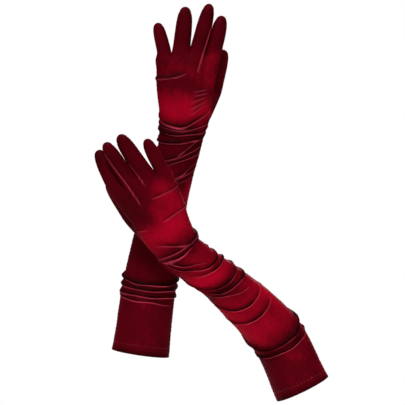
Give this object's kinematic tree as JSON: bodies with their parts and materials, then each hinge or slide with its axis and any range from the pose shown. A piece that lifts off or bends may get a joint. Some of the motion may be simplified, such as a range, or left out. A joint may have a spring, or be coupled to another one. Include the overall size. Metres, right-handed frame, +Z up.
{
  "type": "pair of opera gloves",
  "caption": "Pair of long stretch-velvet opera gloves on raised, crossed arms, left empty; wrists, fingers and thumbs bend.",
  "frame": {"origin": "centre of the left glove's arm opening", "axes": "+Z up along the raised arms, -Y the side that the backs of the hands face, +X towards the left glove's thumb"},
  "size_m": [0.3099, 0.1759, 0.5318],
  "materials": {
    "velvet": "dark red stretch velvet, short lustrous pile",
    "thread": "dark red sewing thread"
  },
  "bodies": {
    "left_sleeve": {"left_hem_facing": "velvet", "left_hem_stitching": "thread", "left_radial_seam_thread": "thread", "left_sleeve_back": "velvet", "left_sleeve_palm": "velvet", "left_ulnar_seam_thread": "thread"},
    "left_hand": {"left_hand_back": "velvet", "left_hand_palm": "velvet", "left_index_middle_quirk": "velvet", "left_middle_ring_quirk": "velvet", "left_ring_little_quirk": "velvet"},
    "left_index": {"left_index_back": "velvet", "left_index_front": "velvet", "left_index_ulnar_fourchette": "velvet"},
    "left_middle": {"left_middle_back": "velvet", "left_middle_front": "velvet", "left_middle_radial_fourchette": "velvet", "left_middle_ulnar_fourchette": "velvet"},
    "left_ring": {"left_ring_back": "velvet", "left_ring_front": "velvet", "left_ring_radial_fourchette": "velvet", "left_ring_ulnar_fourchette": "velvet"},
    "left_little": {"left_little_back": "velvet", "left_little_front": "velvet", "left_little_radial_fourchette": "velvet"},
    "left_thumb": {"left_thumb_back": "velvet", "left_thumb_front": "velvet"},
    "right_sleeve": {"right_hem_facing": "velvet", "right_hem_stitching": "thread", "right_radial_seam_thread": "thread", "right_sleeve_back": "velvet", "right_sleeve_palm": "velvet", "right_ulnar_seam_thread": "thread"},
    "right_hand": {"right_hand_back": "velvet", "right_hand_palm": "velvet", "right_index_middle_quirk": "velvet", "right_middle_ring_quirk": "velvet", "right_ring_little_quirk": "velvet"},
    "right_index": {"right_index_back": "velvet", "right_index_front": "velvet", "right_index_ulnar_fourchette": "velvet"},
    "right_middle": {"right_middle_back": "velvet", "right_middle_front": "velvet", "right_middle_radial_fourchette": "velvet", "right_middle_ulnar_fourchette": "velvet"},
    "right_ring": {"right_ring_back": "velvet", "right_ring_front": "velvet", "right_ring_radial_fourchette": "velvet", "right_ring_ulnar_fourchette": "velvet"},
    "right_little": {"right_little_back": "velvet", "right_little_front": "velvet", "right_little_radial_fourchette": "velvet"},
    "right_thumb": {"right_thumb_back": "velvet", "right_thumb_front": "velvet"}
  },
  "joints": [
    {"name": "left_wrist_bend", "type": "hinge", "parent": "left_sleeve", "child": "left_hand", "pos_m": [0.05402, 0.00151, 0.29478], "axis": [-0.9895, -0.0687, 0.1268], "range_deg": [0, 60]},
    {"name": "left_index_bend", "type": "hinge", "parent": "left_hand", "child": "left_index", "pos_m": [0.09736, -0.0253, 0.40263], "axis": [-0.9696, -0.0867, 0.2289], "range_deg": [0, 75]},
    {"name": "left_middle_bend", "type": "hinge", "parent": "left_hand", "child": "left_middle", "pos_m": [0.07779, -0.02987, 0.40982], "axis": [-0.9654, -0.0894, 0.245], "range_deg": [0, 75]},
    {"name": "left_ring_bend", "type": "hinge", "parent": "left_hand", "child": "left_ring", "pos_m": [0.05562, -0.03038, 0.40987], "axis": [-0.9934, -0.0631, 0.0958], "range_deg": [0, 75]},
    {"name": "left_little_bend", "type": "hinge", "parent": "left_hand", "child": "left_little", "pos_m": [0.03275, -0.03037, 0.40411], "axis": [-0.9719, -0.0009, -0.2354], "range_deg": [0, 75]},
    {"name": "left_thumb_bend", "type": "hinge", "parent": "left_hand", "child": "left_thumb", "pos_m": [0.10997, -0.00091, 0.34706], "axis": [-0.0563, 0.9884, 0.1413], "range_deg": [0, 40]},
    {"name": "right_glove_apart", "type": "slide", "parent": "left_sleeve", "child": "right_sleeve", "axis": [0, -1, 0], "range_m": [0, 0.25]},
    {"name": "right_wrist_bend", "type": "hinge", "parent": "right_sleeve", "child": "right_hand", "pos_m": [0.05296, -0.08269, 0.13372], "axis": [0.8637, -0.1666, 0.4756], "range_deg": [0, 60]},
    {"name": "right_index_bend", "type": "hinge", "parent": "right_hand", "child": "right_index", "pos_m": [-0.02785, -0.07721, 0.22439], "axis": [-0.8959, 0.1471, -0.4191], "range_deg": [0, 75]},
    {"name": "right_middle_bend", "type": "hinge", "parent": "right_hand", "child": "right_middle", "pos_m": [-0.0141, -0.08488, 0.24045], "axis": [-0.8618, 0.1677, -0.4787], "range_deg": [0, 75]},
    {"name": "right_ring_bend", "type": "hinge", "parent": "right_hand", "child": "right_ring", "pos_m": [0.00702, -0.0869, 0.24769], "axis": [-0.8427, 0.1778, -0.5081], "range_deg": [0, 75]},
    {"name": "right_little_bend", "type": "hinge", "parent": "right_hand", "child": "right_little", "pos_m": [0.02994, -0.08823, 0.25142], "axis": [-0.8995, 0.1447, -0.4122], "range_deg": [0, 75]},
    {"name": "right_thumb_bend", "type": "hinge", "parent": "right_hand", "child": "right_thumb", "pos_m": [-0.01937, -0.04586, 0.17563], "axis": [-0.0351, -0.9596, -0.2791], "range_deg": [0, 40]}
  ]
}
